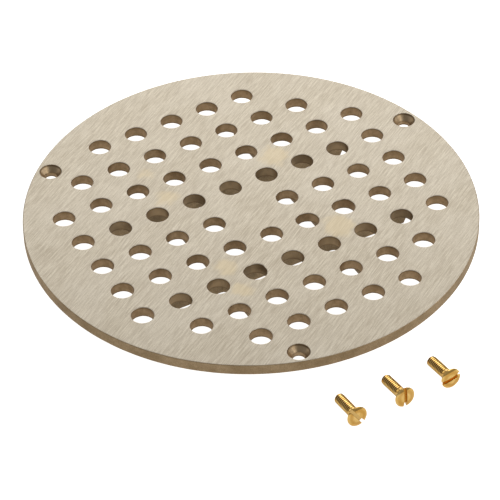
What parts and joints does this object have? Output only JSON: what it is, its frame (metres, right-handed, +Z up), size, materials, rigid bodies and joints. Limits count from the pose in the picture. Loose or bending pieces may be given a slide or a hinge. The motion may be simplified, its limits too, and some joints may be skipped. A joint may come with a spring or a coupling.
{
  "type": "floor drain grate",
  "caption": "Round flat cast floor drain grate with a square grid of round drain holes, ribs under it, and loose slotted oval-head fixing screws.",
  "frame": {"origin": "centre of the screw-hole circle on the seat plane, the plate's flat underside, which rests on the drain body", "axes": "+Z up through the plate, square to it; +X and +Y along the square grid of drain holes and the ribs"},
  "size_m": [0.2032, 0.2331, 0.0124],
  "materials": {
    "nickel_bronze": "satin, finely brushed on top, as cast underneath",
    "screw_brass": "bright turned brass"
  },
  "bodies": {
    "grate": {"grate_plate": "nickel_bronze"},
    "screw_1": {"screw_1": "screw_brass"},
    "screw_2": {"screw_2": "screw_brass"},
    "screw_3": {"screw_3": "screw_brass"}
  },
  "joints": [
    {"name": "screw_1_lift", "type": "slide", "parent": "grate", "child": "screw_1", "axis": [0, 0, 1], "range_m": [0, 0.06]},
    {"name": "screw_2_lift", "type": "slide", "parent": "grate", "child": "screw_2", "axis": [0, 0, 1], "range_m": [0, 0.06]},
    {"name": "screw_3_lift", "type": "slide", "parent": "grate", "child": "screw_3", "axis": [0, 0, 1], "range_m": [0, 0.06]}
  ]
}
